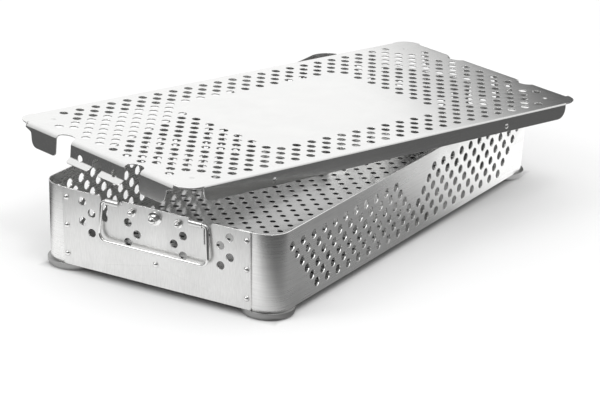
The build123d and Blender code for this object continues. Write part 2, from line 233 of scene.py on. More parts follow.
tree, given = new_tree("punched sheet", {
    "Geometry": "Geometry", "Thickness": "Float", "Hole Corners": "Int",
    "Material": "Material",
})
blank = given["Geometry"]
outline = add_node(tree, "GeometryNodeMeshToCurve", {"Mesh": blank})
neighbours = add_node(tree, "GeometryNodeInputMeshVertexNeighbors")
loose = add_node(
    tree, "FunctionNodeCompare", {2: neighbours, 3: 0}, data_type="INT", operation="EQUAL"
)
centres = add_node(tree, "GeometryNodeMeshToPoints", {"Mesh": blank, "Selection": loose})
circle = add_node(tree, "GeometryNodeCurvePrimitiveCircle", {
    "Resolution": given["Hole Corners"], "Radius": 1.0,
})
bore = add_node(tree, "GeometryNodeInputNamedAttribute", {"Name": "bore"}, data_type="FLOAT")
holes = add_node(tree, "GeometryNodeInstanceOnPoints", {
    "Points": centres, "Instance": circle, "Scale": bore,
})
loops = join_parts(tree, outline, holes)
flat_loops = add_node(tree, "GeometryNodeRealizeInstances", {"Geometry": loops})
filled = add_node(tree, "GeometryNodeFillCurve", {"Curve": flat_loops})
raised = add_node(tree, "GeometryNodeExtrudeMesh", {
    "Mesh": filled, "Offset Scale": given["Thickness"], "Individual": False,
})
under = add_node(tree, "GeometryNodeFlipFaces", {"Mesh": filled})
merged = add_node(tree, "GeometryNodeMergeByDistance", {
    "Geometry": join_parts(tree, raised, under), "Distance": weld_distance,
})
punch_tree = close_real(tree, given, merged)

# %% Punch a blank
def link_mesh(mesh, name):
    piece = bpy.data.objects.new(name, mesh)
    bpy.context.scene.collection.objects.link(piece)
    return piece


def baked(piece):
    """The plain mesh that an object's modifiers give, with the object left behind."""
    bpy.context.view_layer.update()
    graph = bpy.context.evaluated_depsgraph_get()
    mesh = bpy.data.meshes.new_from_object(piece.evaluated_get(graph), depsgraph=graph)
    old = piece.data
    bpy.data.objects.remove(piece)
    bpy.data.meshes.remove(old)
    return mesh


def run_tree(mesh, tree, values):
    """Put a mesh through a Geometry Nodes tree, and take the result as a bmesh."""
    piece = link_mesh(mesh, mesh.name)
    modifier = piece.modifiers.new("tree", "NODES")
    modifier.node_group = tree
    for item in tree.interface.items_tree:
        if item.item_type == "SOCKET" and item.in_out == "INPUT" and item.name in values:
            modifier[item.identifier] = values[item.name]
    plain = baked(piece)
    shape = bmesh.new()
    shape.from_mesh(plain)
    bpy.data.meshes.remove(plain)
    return shape


def punched(name, outline, bores, thickness, material, hole_corners=24):
    """A flat sheet in millimetres, from z = 0 up; its cut faces get material number 1."""
    blank = bpy.data.meshes.new(name)
    count = len(outline)
    edges = [(turn, (turn + 1) % count) for turn in range(count)]
    places = [(spot[0], spot[1], 0) for spot in [*outline, *bores]]
    blank.from_pydata(places, edges, [])
    radii = blank.attributes.new("bore", "FLOAT", "POINT")
    for turn, (x, y, radius) in enumerate(bores):
        radii.data[count + turn].value = radius
    sheet = run_tree(blank, punch_tree, {
        "Thickness": thickness, "Hole Corners": hole_corners, "Material": material,
    })
    sheet.normal_update()
    for face in sheet.faces:
        face.material_index = 1 if abs(face.normal.z) < 0.5 else 0
    print(name, "faces", len(sheet.faces))
    return sheet

# %% [markdown]
# ## Folding the blanks
#
# A press brake bends the flat blank along straight lines. `cut_across` puts the rows of
# vertices in that a bend needs, and `fold` wraps everything past the bend line round the
# bend's centre and carries the rest on straight, just as the metal goes.

# %% Folding
snap_distance = 0.0005
line_slack = 0.0001


def cut_across(sheet, place, direction):
    """Cut the whole sheet along a line, so that it can bend there."""
    everything = sheet.verts[:] + sheet.edges[:] + sheet.faces[:]
    bmesh.ops.bisect_plane(
        sheet, geom=everything, plane_co=(*place, 0), plane_no=(*direction, 0),
        dist=snap_distance,
    )


def fold(sheet, at, direction, centre, measure, turn, cuts, applies):
    """Bend what lies past a line towards the side that the bend's centre is on.

    at: distance of the bend line along direction; centre: height of the bend's centre;
    measure: the radius at which the flat length is kept; turn: angle in radians.
    """
    direction = Vector(direction)
    for cut in range(cuts + 1):
        cut_across(sheet, direction * (at + measure * turn * cut / cuts), direction)
    side = 1 if centre > 0 else -1
    for vertex in sheet.verts:
        past = vertex.co.xy.dot(direction) - at
        if past <= line_slack or not applies(vertex.co):
            continue
        radius = abs(centre - vertex.co.z)
        angle = min(past / measure, turn)
        beyond = max(past - measure * turn, 0)
        across = vertex.co.xy - direction * (past + at)
        along = at + radius * sin(angle) + beyond * cos(turn)
        height = centre - side * radius * cos(angle) + side * beyond * sin(turn)
        vertex.co = Vector((*(across + direction * along), height))


def shift(sheet, height):
    for vertex in sheet.verts:
        vertex.co.z += height


def within(axis, last, first=-1):
    """A test for vertices nearer to the middle line than last and further than first."""
    return lambda co: first < abs(co[axis]) < last


print("a sheet is folded by cut_across, fold and shift")

# %% [markdown]
# ## Finishing a piece
#
# Punched and turned edges are never razor sharp. A narrow bevel breaks each edge, and it is
# this sliver that catches the light round every hole. Where a sheet was cut, the bevel and
# the cut itself have a brighter finish than its faces: partly a polished edge, and partly a
# painted highlight that makes the thin sliver shine more. Weighted normals keep the flats
# flat.

# %% Finishing
def finished(
    shape, name, material, place, broken_edge=0.2, segments=2, smooth_angle=40, edge=None
):
    """Turn a bmesh in millimetres into a finished piece; edge is the brighter finish of cut
    edges, partly a painted highlight.
    """
    mesh = bpy.data.meshes.new(name)
    mesh.materials.append(material)
    if edge:
        mesh.materials.append(edge)
    else:
        for face in shape.faces:
            face.material_index = 0
    bmesh.ops.remove_doubles(shape, verts=shape.verts[:], dist=snap_distance)
    shape.transform(place)
    shape.normal_update()
    shape.to_mesh(mesh)
    shape.free()
    for face in mesh.polygons:
        face.use_smooth = True
    piece = link_mesh(mesh, name + "_work")
    if broken_edge:
        bevel = piece.modifiers.new("broken edges", "BEVEL")
        bevel.width = broken_edge * MM
        bevel.segments = segments
        bevel.limit_method = "ANGLE"
        bevel.angle_limit = radians(smooth_angle)
        bevel.use_clamp_overlap = False
        bevel.material = 1 if edge else -1
    weighted = piece.modifiers.new("flat flats", "WEIGHTED_NORMAL")
    weighted.mode = "FACE_AREA"
    weighted.weight = 50
    plain = baked(piece)
    plain.name = name
    return link_mesh(plain, name)


def settle(piece, body, slot, *nodes):
    """Let a finished piece ride on its body and stand for its CAD nodes."""
    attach(piece, body)
    if nodes:
        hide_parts(*nodes)
    print(piece.name, len(piece.data.polygons), "faces")

# %% [markdown]
# ## Grain and handling marks
#
# Stainless sheet is never a plain mirror. A fine grain runs along the way that the sheet was
# brushed, and hands and trays leave soft patches on it. Both effects are used by several
# finishes, so each is a node group with named inputs, built once. The grain is noise that is
# stretched: it changes fast across the brushing and slowly along it.

# %% Shader helpers
WHITE = (1, 1, 1, 1)


def add_math(tree, operation, first, second):
    node = add_node(tree, "ShaderNodeMath", {0: first, 1: second}, operation=operation)
    return node.outputs["Value"]


def add_vector_math(tree, operation, first, second=(0, 0, 0)):
    node = add_node(tree, "ShaderNodeVectorMath", {0: first, 1: second}, operation=operation)
    gives_value = operation in ("DOT_PRODUCT", "LENGTH")
    return node.outputs["Value" if gives_value else "Vector"]


def remap(tree, value, span, values=(0, 1), smooth=False):
    """Turn a span of one value into a span of another, held at both ends."""
    node = add_node(tree, "ShaderNodeMapRange", {
        "Value": value, "From Min": span[0], "From Max": span[1],
        "To Min": values[0], "To Max": values[1],
    }, interpolation_type="SMOOTHSTEP" if smooth else "LINEAR")
    return node.outputs["Result"]

# %% Shader groups
group, given = new_tree("brushed grain", {
    "Vector": "Vector", "Stretch": "Vector", "Roughness": "Float", "Spread": "Float",
    "Depth": "Float",
}, "ShaderNodeTree")
stretched = add_vector_math(group, "MULTIPLY", given["Vector"], given["Stretch"])
lines = add_node(group, "ShaderNodeTexNoise", {
    "Vector": stretched, "Scale": 1.0, "Detail": 3.0, "Roughness": 0.6,
})
swing = add_math(group, "SUBTRACT", lines, 0.5)
rough = add_math(group, "MULTIPLY", swing, given["Spread"])
shade = add_math(group, "MULTIPLY", swing, given["Depth"])
grain_group = close_tree(group, {
    "Roughness": add_math(group, "ADD", rough, given["Roughness"]),
    "Height": lines,
    "Tone": add_math(group, "ADD", shade, 1.0),
}, "Float")

group, given = new_tree("handling marks", {
    "Vector": "Vector", "Scale": "Float", "Depth": "Float",
}, "ShaderNodeTree")
cloud = add_node(group, "ShaderNodeTexNoise", {
    "Vector": given["Vector"], "Scale": given["Scale"], "Detail": 5.0,
    "Roughness": 0.62, "Distortion": 0.4,
})
soft = remap(group, cloud, (0.35, 0.65))
smudge = add_math(group, "MULTIPLY", soft, given["Depth"])
tone = add_math(group, "SUBTRACT", 1.0, smudge)
marks_group = close_tree(group, {"Tone": tone, "Smudge": smudge}, "Float")

# %% [markdown]
# ## The steel finishes
#
# All of it is stainless steel, so every finish has the same metal with another surface. What
# tells them apart is the direction of the brushing and how far it blurs what it mirrors. A
# grey just under white is the metal's own colour, and the room does the rest. Three tones are
# painted light: the floor's dark grey and the feet's dark grey are painted shade, and the near
# white of the cut edges is partly a polished edge and partly a painted highlight.

# %% The steel recipe
smudge_scale = 18
blue_share = 0.99
grain_depth = 0.00006


def new_material(name, bare=False):
    """A material with nodes; a bare one keeps only its output."""
    material = bpy.data.materials.new(name)
    material.use_nodes = True
    tree = material.node_tree
    if bare:
        tree.nodes.remove(tree.nodes["Principled BSDF"])
    return material, tree


def make_steel(name, tone, roughness, spread, stretch, relief, depth, marks=0.06, turn=0):
    """A stainless finish: stretch is how fast the grain changes along X, Y and Z, per metre."""
    material, tree = new_material(name)
    place = tree.nodes.new("ShaderNodeTexCoord").outputs["Object"]
    turned = add_node(tree, "ShaderNodeMapping", {"Vector": place, "Rotation": (0, 0, turn)})
    grain = add_node(tree, "ShaderNodeGroup", {
        "Vector": turned, "Stretch": stretch, "Roughness": roughness, "Spread": spread,
        "Depth": depth,
    }, node_tree=grain_group)
    worn = add_node(tree, "ShaderNodeGroup", {
        "Vector": place, "Scale": smudge_scale, "Depth": marks,
    }, node_tree=marks_group)
    shade = add_math(tree, "MULTIPLY", worn.outputs["Tone"], grain.outputs["Tone"])
    shade = add_math(tree, "MULTIPLY", shade, tone)
    colour = add_node(tree, "ShaderNodeCombineColor", {
        "Red": shade, "Green": shade, "Blue": add_math(tree, "MULTIPLY", shade, blue_share),
    })
    bump = add_node(tree, "ShaderNodeBump", {
        "Height": grain.outputs["Height"], "Strength": relief, "Distance": grain_depth,
    })
    rough = add_math(tree, "ADD", grain.outputs["Roughness"], worn.outputs["Smudge"])
    feed(tree, tree.nodes["Principled BSDF"], {
        "Base Color": colour, "Metallic": 1, "Roughness": rough, "Normal": bump,
    })
    print("finish", name)
    return material

# %% The finishes
upright_grain = (1500, 1500, 30)
level_grain = (28, 28, 1500)
long_grain = (14, 1200, 1200)
fine_grain = (600, 600, 600)
lid_yaw = radians(-16.78)

plate_steel = make_steel("plate_steel", 0.73, 0.30, 0.16, upright_grain, 0.15, 0.4)
wall_steel = make_steel("wall_steel", 0.78, 0.26, 0.16, level_grain, 0.15, 0.45)
# Painted shade: the basket's floor is the same steel as the walls, given a much darker tone for
# the shade under the lid.
floor_steel = make_steel("floor_steel", 0.42, 0.12, 0.10, long_grain, 0.12, 0.2)
lid_steel = make_steel("lid_steel", 0.86, 0.17, 0.10, long_grain, 0.05, 0.12, 0.03, -lid_yaw)
wire_steel = make_steel("wire_steel", 0.76, 0.05, 0.04, fine_grain, 0.05, 0.05, 0.03)
bright_steel = make_steel("bright_steel", 0.80, 0.05, 0.04, fine_grain, 0.05, 0.05, 0.03)
# Partly a painted highlight: cut edges are polished, and their near-white tone also stands in
# for the light that the thin bevel catches.
edge_steel = make_steel("edge_steel", 0.97, 0.20, 0.06, fine_grain, 0.05, 0.05, 0.02)
# Painted shade: the feet are the same steel, given a dark tone for the shade under the basket.
foot_steel = make_steel("foot_steel", 0.33, 0.30, 0.12, fine_grain, 0.2, 0.12)

# %% [markdown]
# ## Sky and floor
#
# Steel has no look of its own: it shows the room. The room here is a plain studio with a
# white floor. What the metal mirrors is toned, as a photographer does it with cards round
# the product, and Light Path tells the metal's rays apart from all others. For them the sky
# is bright overhead and beyond the rear end, and dark on the side where the camera stands.

# %% World
sky_bright = Vector((0.80, 0.42, 0.42)).normalized()
sky_low = 0.45
sky_high = 1.05
sky_reach = (-0.3, 0.85)
overhead = (0.50, 0.85)
room_dark = Vector((-0.80, -0.42, 0.42)).normalized()
dark_edge = (0.84, 0.97)
dark_share = 0.15

world = bpy.data.worlds.new("studio")
world.use_nodes = True
tree = world.node_tree
ray = tree.nodes.new("ShaderNodeTexCoord").outputs["Generated"]
beyond = add_vector_math(tree, "DOT_PRODUCT", ray, sky_bright)
soft = remap(tree, beyond, sky_reach, (sky_low, sky_high))
height = add_node(tree, "ShaderNodeSeparateXYZ", {"Vector": ray}).outputs["Z"]
above = remap(tree, height, overhead, (0, sky_high), smooth=True)
before = add_vector_math(tree, "DOT_PRODUCT", ray, room_dark)
dim = remap(tree, before, dark_edge, (1, dark_share), smooth=True)
sky = add_math(tree, "MULTIPLY", add_math(tree, "MAXIMUM", soft, above), dim)
path = tree.nodes.new("ShaderNodeLightPath")
strength = add_node(tree, "ShaderNodeMix", {
    "Factor": path.outputs["Is Glossy Ray"], "A": 1, "B": sky,
})
feed(tree, tree.nodes["Background"], {"Color": WHITE, "Strength": strength})
bpy.context.scene.world = world
print("world", world.name, "has", len(tree.nodes), "nodes")

# %% [markdown]
# The cards are painted on the floor as soft ovals that partly glow, and only the metal sees
# them, so they are painted reflections: bright before the end plate and beside the far half
# of the wall, grey between them, and none under the basket.
# For all other rays the floor is plain white, with a painted shade at half that tone right
# under the basket, for the little of the room's light that gets there.

# %% Floor
floor_size = 30
floor_drop = 0.0002
floor_white = 0.93
shadow_tone = 0.5
card_glow = 0.4
card_grey = 0.10
card_softness = 0.45
covered = (0.262, 0.127)
cover_edge = (0.94, 1.02)
white_cards = (
    ((-0.31, 0.06), (0.15, 0.28), 1.0),
    ((0.02, -0.18), (0.40, 0.17), 0.24),
    ((0.42, -0.13), (0.38, 0.22), 1.2),
    ((0.20, 0.45), (0.50, 0.30), 0.6),
)


def add_card(tree, spot, centre, size, strength):
    """A soft-edged bright oval on the floor, as a value."""
    moved = add_vector_math(tree, "SUBTRACT", spot, (*centre, 0))
    away = add_vector_math(tree, "LENGTH", add_vector_math(tree, "DIVIDE", moved, (*size, 1)))
    return remap(tree, away, (card_softness, 1), (strength, 0), smooth=True)


bpy.ops.mesh.primitive_plane_add(size=floor_size, location=(0, 0, -floor_drop))
floor = bpy.context.active_object
floor.name = "studio_floor"
material, tree = new_material("studio_floor", bare=True)
spot = tree.nodes.new("ShaderNodeTexCoord").outputs["Object"]
glossy = tree.nodes.new("ShaderNodeLightPath").outputs["Is Glossy Ray"]
shares = add_vector_math(tree, "ABSOLUTE", spot)
shares = add_vector_math(tree, "DIVIDE", shares, (*covered, 1))
axes = add_node(tree, "ShaderNodeSeparateXYZ", {"Vector": shares})
far = add_math(tree, "MAXIMUM", axes.outputs["X"], axes.outputs["Y"])
cover = remap(tree, far, cover_edge)
# Painted reflections: soft ovals that partly glow, though they are no lamp, and only the
# metal's rays see them.
tone = card_grey
for card in white_cards:
    tone = add_math(tree, "ADD", add_card(tree, spot, *card), tone)
tone = add_math(tree, "MULTIPLY", tone, cover)
# Painted shade: under the basket the floor's white is darkened to half.
plain = add_math(tree, "MULTIPLY", cover, 1 - shadow_tone)
plain = add_math(tree, "MULTIPLY", add_math(tree, "ADD", plain, shadow_tone), floor_white)
shade = add_node(tree, "ShaderNodeMix", {
    "Factor": glossy, "A": plain, "B": add_math(tree, "MULTIPLY", tone, 1 - card_glow),
})
lit = add_node(tree, "ShaderNodeBsdfDiffuse", {"Color": shade})
glow = add_math(tree, "MULTIPLY", add_math(tree, "MULTIPLY", glossy, tone), card_glow)
lift = add_node(tree, "ShaderNodeEmission", {"Color": WHITE, "Strength": glow})
seen = add_node(tree, "ShaderNodeAddShader", {0: lit, 1: lift})
feed(tree, tree.nodes["Material Output"], {"Surface": seen})
floor.data.materials.append(material)
print(floor.name, "has", len(white_cards), "cards on it")

# %% [markdown]
# A last card stands upright beyond the rear end. It glows, though it is no lamp, with a tone
# that fades from dark to bright across it, and the lid mirrors it at a flat angle: a painted
# reflection whose soft edge is what makes the lid fade to grey towards its far corner. Only
# the metal sees it, because its ray visibility is off for the camera, diffuse light and
# shadows.

# %% Standing card
card_place = (0.8, 0.475)
card_size = (1.45, 1.0)
card_fade = (0.36, 0.64)
card_tones = (0.08, 1.06)

x, y = card_place
half, height = card_size[0] / 2, card_size[1]
corners = [(x, y - half, 0), (x, y + half, 0), (x, y + half, height), (x, y - half, height)]
mesh = bpy.data.meshes.new("standing_card")
mesh.from_pydata(corners, [], [(0, 1, 2, 3)])
card = link_mesh(mesh, "standing_card")
for ray in ("camera", "diffuse", "shadow", "transmission"):
    setattr(card, "visible_" + ray, False)
material, tree = new_material("standing_card", bare=True)
spot = tree.nodes.new("ShaderNodeTexCoord").outputs["Object"]
slope = add_vector_math(tree, "DOT_PRODUCT", spot, (0, 1, 1))
# The card glows with a painted gradient, though it is no lamp.
glow = add_node(tree, "ShaderNodeEmission", {
    "Color": WHITE, "Strength": remap(tree, slope, card_fade, card_tones),
})
feed(tree, tree.nodes["Material Output"], {"Surface": glow})
mesh.materials.append(material)
print(card.name, "is", card_size[0], "by", card_size[1], "m")

# %% Lights
def add_softbox(name, place, aim, size, power):
    light = bpy.data.lights.new(name, "AREA")
    light.shape = "RECTANGLE"
    light.size, light.size_y = size
    light.energy = power
    lamp = bpy.data.objects.new(name, light)
    bpy.context.scene.collection.objects.link(lamp)
    lamp.location = place
    lamp.rotation_euler = (Vector(aim) - Vector(place)).to_track_quat("-Z", "Y").to_euler()
    print(name, power, "W")


add_softbox("softbox_left", (-1.6, 0.9, 1.5), (-0.1, 0, 0.05), (0.8, 0.8), 8)
add_softbox("softbox_above", (-0.5, -0.7, 1.9), (0, 0, 0.05), (0.5, 0.5), 4)

# %% [markdown]
# ## Side walls
#
# Each long wall is one strip that runs round both of its corners and ends behind the plates.
# The blank is drawn as the strip lies before bending: how far along it on one axis, and the
# height on the other. The ends lean, so the bends at the corners lean with them.

# %% Side wall perforation
side_hole = 9.0
side_row_drop = 15.8
side_rows = 6
side_row_reach = 12
side_blank_reach = 1
return_edge = 88.0
rivet_reach = 96.8
rivet_drops = (8.9, 37.1, 65.8)
rivet_shank = 1.6
rivet_bore = rivet_shank + bore_fit
corner_turn = pi / 2


def steps_between(first, last):
    """Steps of 1 from first to last, both taken in."""
    return [first + step for step in range(round(last - first) + 1)]


def flat_reach(height):
    """Half the straight length of the long wall at a height over the ground."""
    return end_half - corner_radius - (rim - height) * tan(lean)


side_bores = []
for row in range(side_rows):
    reach = side_row_reach - row / 2
    for place in steps_between(-reach, reach):
        if abs(place) > side_blank_reach - row / 2:
            height = rim - side_row_drop - row * row_step
            side_bores.append((place * pitch, height, side_hole / 2))
past_corner = corner_radius * corner_turn + half_width - corner_radius
for drop in rivet_drops:
    height = rim - drop * cos(lean)
    for side in (-1, 1):
        along = side * (flat_reach(height) + past_corner - rivet_reach)
        side_bores.append((along, height, rivet_bore))
print("holes in a side wall", len(side_bores))

# %% Bend the side walls
def bend_wall(co):
    """Take a point of the flat strip to its place on the right-hand wall."""
    along, height, depth = co
    reach = flat_reach(height)
    beyond = abs(along) - reach
    side = 1 if along > 0 else -1
    if beyond <= 0:
        return Vector((along, depth - half_width, height))
    turn = min(beyond / corner_radius, corner_turn)
    rest = max(beyond - corner_radius * corner_turn, 0)
    radius = corner_radius - depth
    x = reach + radius * sin(turn)
    y = half_width - corner_radius + radius * cos(turn) - rest
    return Vector((side * x, -y, height))


def make_side_wall(name, mirrored):
    top = flat_reach(rim) + past_corner - return_edge
    bottom = flat_reach(foot_height) + past_corner - return_edge
    blank = [(-bottom, foot_height), (bottom, foot_height), (top, rim), (-top, rim)]
    sheet = punched(name, blank, side_bores, wall_sheet, wall_steel)
    corner_cuts = 14
    slant = Vector((rim - foot_height, flat_reach(foot_height) - flat_reach(rim))).normalized()
    for side in (-1, 1):
        for cut in range(corner_cuts + 1):
            along = flat_reach(foot_height) + corner_radius * corner_turn * cut / corner_cuts
            cut_across(sheet, (side * along, foot_height), (side * slant.x, slant.y))
    for vertex in sheet.verts:
        vertex.co = bend_wall(vertex.co)
        if mirrored:
            vertex.co.y *= -1
    wall = finished(sheet, name, wall_steel, to_metres, broken_edge=0.26, edge=edge_steel)
    settle(wall, "basket", "brushed_sheet", name)


make_side_wall("side_wall_right", False)
make_side_wall("side_wall_left", True)

# %% [markdown]
# ## Floor
#
# The floor is a punched tray bottom. Its ends turn up behind the plates, where a rivet takes
# hold of each. It stays blank over the feet, so that their screws sit on sound metal.

# %% Floor perforation
floor_hole = 5.8
floor_row_reach = 11
floor_hole_reach = 12
floor_hole_margin = 5.0
floor_flange_reach = 86.0
floor_flange_height = 28.0
sheet_gap = 0.1
foot_bore = 2.1
foot_radius = 25.2
foot_spot = Vector((end_half - lean_in - corner_radius, half_width - corner_radius))
foot_spots = at_corners(*foot_spot)
middle_rivet_drop = 55.0

floor_bores = []
for row in steps_between(-floor_row_reach, floor_row_reach):
    reach = floor_hole_reach - (0.5 if row % 2 == 0 else 0)
    for place in steps_between(-reach, reach):
        x, y = place * pitch, row * row_step
        if (Vector((abs(x), abs(y))) - foot_spot).length > foot_radius + floor_hole_margin:
            floor_bores.append((x, y, floor_hole / 2))
floor_bores += at_corners(*foot_spot, foot_bore + bore_fit)
print("holes in the floor", len(floor_bores))

# %% Fold the floor's ends up
flange_bend = 2.0
flange_turn = pi / 2 - lean
flange_measure = flange_bend - floor_sheet / 2
flange_corner = flange_bend * (1 - sin(lean)) / cos(lean)
flange_start = end_half - lean_in - flange_corner
flange_flat = flange_start + flange_measure * flange_turn - flange_corner
flange_fold = (flange_bend, flange_measure, flange_turn, 4)
corner_relief = (0.5, 0.1)


def all_quarters(quarter):
    """A whole outline from the corners of its first quarter."""
    half = quarter + [(-x, y, radius) for x, y, radius in reversed(quarter)]
    return half + [(-x, -y, radius) for x, y, radius in half]


half_length = end_half - lean_in - wall_sheet / cos(lean) - sheet_gap
half_across = half_width - wall_sheet - sheet_gap
inner_round = corner_radius - wall_sheet - sheet_gap
deep, wide = corner_relief
outline = rounded(all_quarters([
    (flange_flat + floor_flange_height, floor_flange_reach, 0),
    (half_length - deep, floor_flange_reach, 0),
    (half_length - deep, floor_flange_reach + wide, 0),
    (half_length, floor_flange_reach + wide, 0),
    (half_length, half_across, inner_round),
]))
rivet_at = flange_flat + wall_run - middle_rivet_drop
bores = floor_bores + [(end * rivet_at, 0, rivet_bore) for end in (-1, 1)]
sheet = punched("floor_panel", outline, bores, floor_sheet, floor_steel, 16)
on_flange = within(1, floor_flange_reach + wide / 2)
for end in (-1, 1):
    fold(sheet, flange_start, (end, 0), *flange_fold, on_flange)
shift(sheet, foot_height)
floor = finished(sheet, "floor_panel", floor_steel, to_metres, 0.15, segments=1)
settle(floor, "basket", "brushed_sheet", "floor_panel")

# %% [markdown]
# ## End plates
#
# Each end carries a riveted plate. Two of its tongues are curled outwards into knuckles, and
# the handle's wire turns in them. Beside each knuckle a slot lets the wire swing through.

# %% End plate outline
plate_reach = 101.0
plate_run = wall_run - plate_sheet * tan(lean)
plate_corner = 3.0
knuckle_inner = 38.0
knuckle_outer = 51.8
notch_width = 2.0
notch_depth = 4.5
slot_outer = 58.5
slot_depth = 25.0
slot_corner = 4.0
wire = 3.3
roll_bore = wire / 2 + 0.08
roll_radius = roll_bore + plate_sheet
roll_measure = roll_bore + plate_sheet / 2
roll_turn = 1.5 * pi
tongue_end = roll_measure * roll_turn - roll_radius
slot_round = 0.49 * (slot_outer - knuckle_outer)
plate_half = [
    (plate_reach, 0, plate_corner),
    (slot_outer, 0, slot_corner),
    (slot_outer, -slot_depth, slot_round),
    (knuckle_outer, -slot_depth, slot_round),
    (knuckle_outer, tongue_end, 0),
    (knuckle_inner, tongue_end, 0),
    (knuckle_inner, -notch_depth, 0),
    (knuckle_inner - notch_width, -notch_depth, 0),
    (knuckle_inner - notch_width, 0, 0),
]
plate_outline = [(-plate_reach, -plate_run, 0), (plate_reach, -plate_run, 0)] + plate_half
plate_outline += [(-x, y, r) for x, y, r in reversed(plate_half)]
print("corners of an end plate", len(plate_outline))

# %% End plate perforation
plate_hole = 8.4
plate_row_drop = 9.7
outer_places = ((4, 0), (3.5, 1), (4, 2), (3.5, 3))
inner_places = ((1.5, 1), (1, 2), (1.5, 3))
nut_reach = 25.0
nut_drop = 8.5
middle_nut_drop = 9.0
screw_shank = 1.5
middle_shank = 2.5
plate_bores = [
    (0, -middle_rivet_drop, rivet_bore), (0, -middle_nut_drop, middle_shank + bore_fit),
]
for side in (-1, 1):
    plate_bores.append((side * nut_reach, -nut_drop, screw_shank + bore_fit))
    for drop in rivet_drops:
        plate_bores.append((side * rivet_reach, -drop, rivet_bore))
    for place, row in outer_places + inner_places:
        down = plate_row_drop + row * row_step
        plate_bores.append((side * place * pitch, -down, plate_hole / 2))
print("holes in an end plate", len(plate_bores))

# %% Curl the knuckles
curl = (plate_sheet + roll_bore, roll_measure, roll_turn, 18)
edge_slack = 0.01
on_knuckle = within(0, knuckle_outer + edge_slack, knuckle_inner - edge_slack)
for end, place in end_places.items():
    name = "end_plate_" + end
    sheet = punched(name, rounded(plate_outline), plate_bores, plate_sheet, plate_steel, 32)
    fold(sheet, -roll_radius, (0, 1), *curl, on_knuckle)
    plate = finished(sheet, name, plate_steel, place, edge=edge_steel)
    settle(plate, "basket", "brushed_sheet", name)

# %% [markdown]
# ## Lid
#
# The lid is one sheet as well. Both long sides fold down into skirts, each end into two
# tongues and a middle flange, and the lips on that flange fold out again. It lies askew on
# the basket, so it is made flat about its own middle and then laid in place.

# %% Lid sizes
lid_half_length = 266.4
lid_half_width = 122.9
lid_bend = 4.5
lid_side_bend = 2.0
lid_ear = 17.9
slit = 0.1
lip_fold = 15.8
lip_reaches = (7.0, 38.5)
lip_bend = 1.2
lip_depth = 19.5
lip_out = 5.6
lip_turn = pi / 2 - atan2(lip_depth - lip_fold, lip_out)
lip_corner = lip_bend * tan(lip_turn / 2)
lip_measure = lip_bend + lid_sheet / 2
lip_flat = Vector((lip_out, lip_depth - lip_fold)).length - lip_corner
end_fold = lid_half_length - lid_bend
end_measure = lid_bend - lid_sheet / 2
side_fold = lid_half_width - lid_side_bend
side_measure = lid_side_bend - lid_sheet / 2
lid_spot = Vector((3.3, -3.0, 111.259))
lid_pitch = radians(1.52)
lid_roll = radians(0.75)
lid_place = Matrix.Translation(lid_spot * MM)
lid_place @= Matrix.Rotation(lid_yaw, 4, "Z") @ Matrix.Rotation(lid_pitch, 4, "Y")
lid_place @= Matrix.Rotation(lid_roll, 4, "X") @ to_metres


def end_blank(depth):
    """Where a depth on a folded end lies on the flat blank."""
    return end_fold + end_measure * pi / 2 + depth - lid_bend


def side_blank(depth):
    return side_fold + side_measure * pi / 2 + depth - lid_side_bend


lip_start = end_blank(lip_fold) - lip_corner
lip_end = lip_start + lip_measure * lip_turn + lip_flat
print("the lips fold at", round(lip_start, 2), "and end at", round(lip_end, 2))

# %% Lid outline
tongue_reach = 105.6
skirt_reach = 244.0
cutout_bottom = lid_half_length - 11.0
cutout_reach = 60.0
cutout_round = 10.6
notch = (6.8, 6.0)
tongue_depth = 21.5
lip_in, lip_out_to = lip_reaches
lid_outline = rounded(all_quarters([
    (end_blank(notch[0]), notch[1], 5.9),
    (end_blank(lip_fold), notch[1], 0),
    (end_blank(lip_fold), lip_in, 0),
    (lip_end, lip_in, 2.0),
    (lip_end, lip_out_to, 3.0),
    (cutout_bottom, lip_out_to, cutout_round),
    (cutout_bottom, cutout_reach, cutout_round),
    (end_blank(tongue_depth), cutout_reach, 4.0),
    (end_blank(tongue_depth), 94.5, 8.0),
    (end_blank(7.5), 97.5, 3.0),
    (end_blank(5.0), tongue_reach, 0),
    (end_fold, tongue_reach, 0),
    (end_fold, tongue_reach + slit, 0),
    (lid_half_length, tongue_reach + slit, 0),
    (lid_half_length, lid_half_width, lid_ear - slit * 5),
    (skirt_reach + slit, lid_half_width, 0),
    (skirt_reach + slit, side_fold, 0),
    (skirt_reach, side_fold, 0),
    (skirt_reach, side_blank(15.5), 10.0),
]))
print("points round the lid", len(lid_outline))

# %% Lid perforation
lid_hole = 8.5
lid_row_reaches = (12.5, 12, 12.5, 12, 12.5, 12, 11.5, 12, 12.5, 11, 10.5, 11)
lid_window_reach = 6
lid_window_rows = 8
lip_hole = (13.5, 24.5, 3.7)
punch_mark = (238.0, 99.0, 2.6)
lid_bores = []
for row in steps_between(-len(lid_row_reaches) + 1, len(lid_row_reaches) - 1):
    reach = lid_row_reaches[abs(row)]
    for place in steps_between(-reach, reach):
        if abs(row) >= lid_window_rows or abs(place) >= lid_window_reach:
            lid_bores.append((place * pitch, row * row_step, lid_hole / 2))
depth, across, radius = lip_hole
lid_bores += at_corners(end_blank(depth), across, radius)
reach, across, radius = punch_mark
lid_bores += at_corners(reach, across, radius + bore_fit)
print("holes in the lid", len(lid_bores))

# %% Fold the lid
on_lip = within(1, lip_out_to + slit / 2, lip_in - slit / 2)
on_end = within(1, tongue_reach + slit / 2)
on_skirt = within(0, skirt_reach + slit / 2)

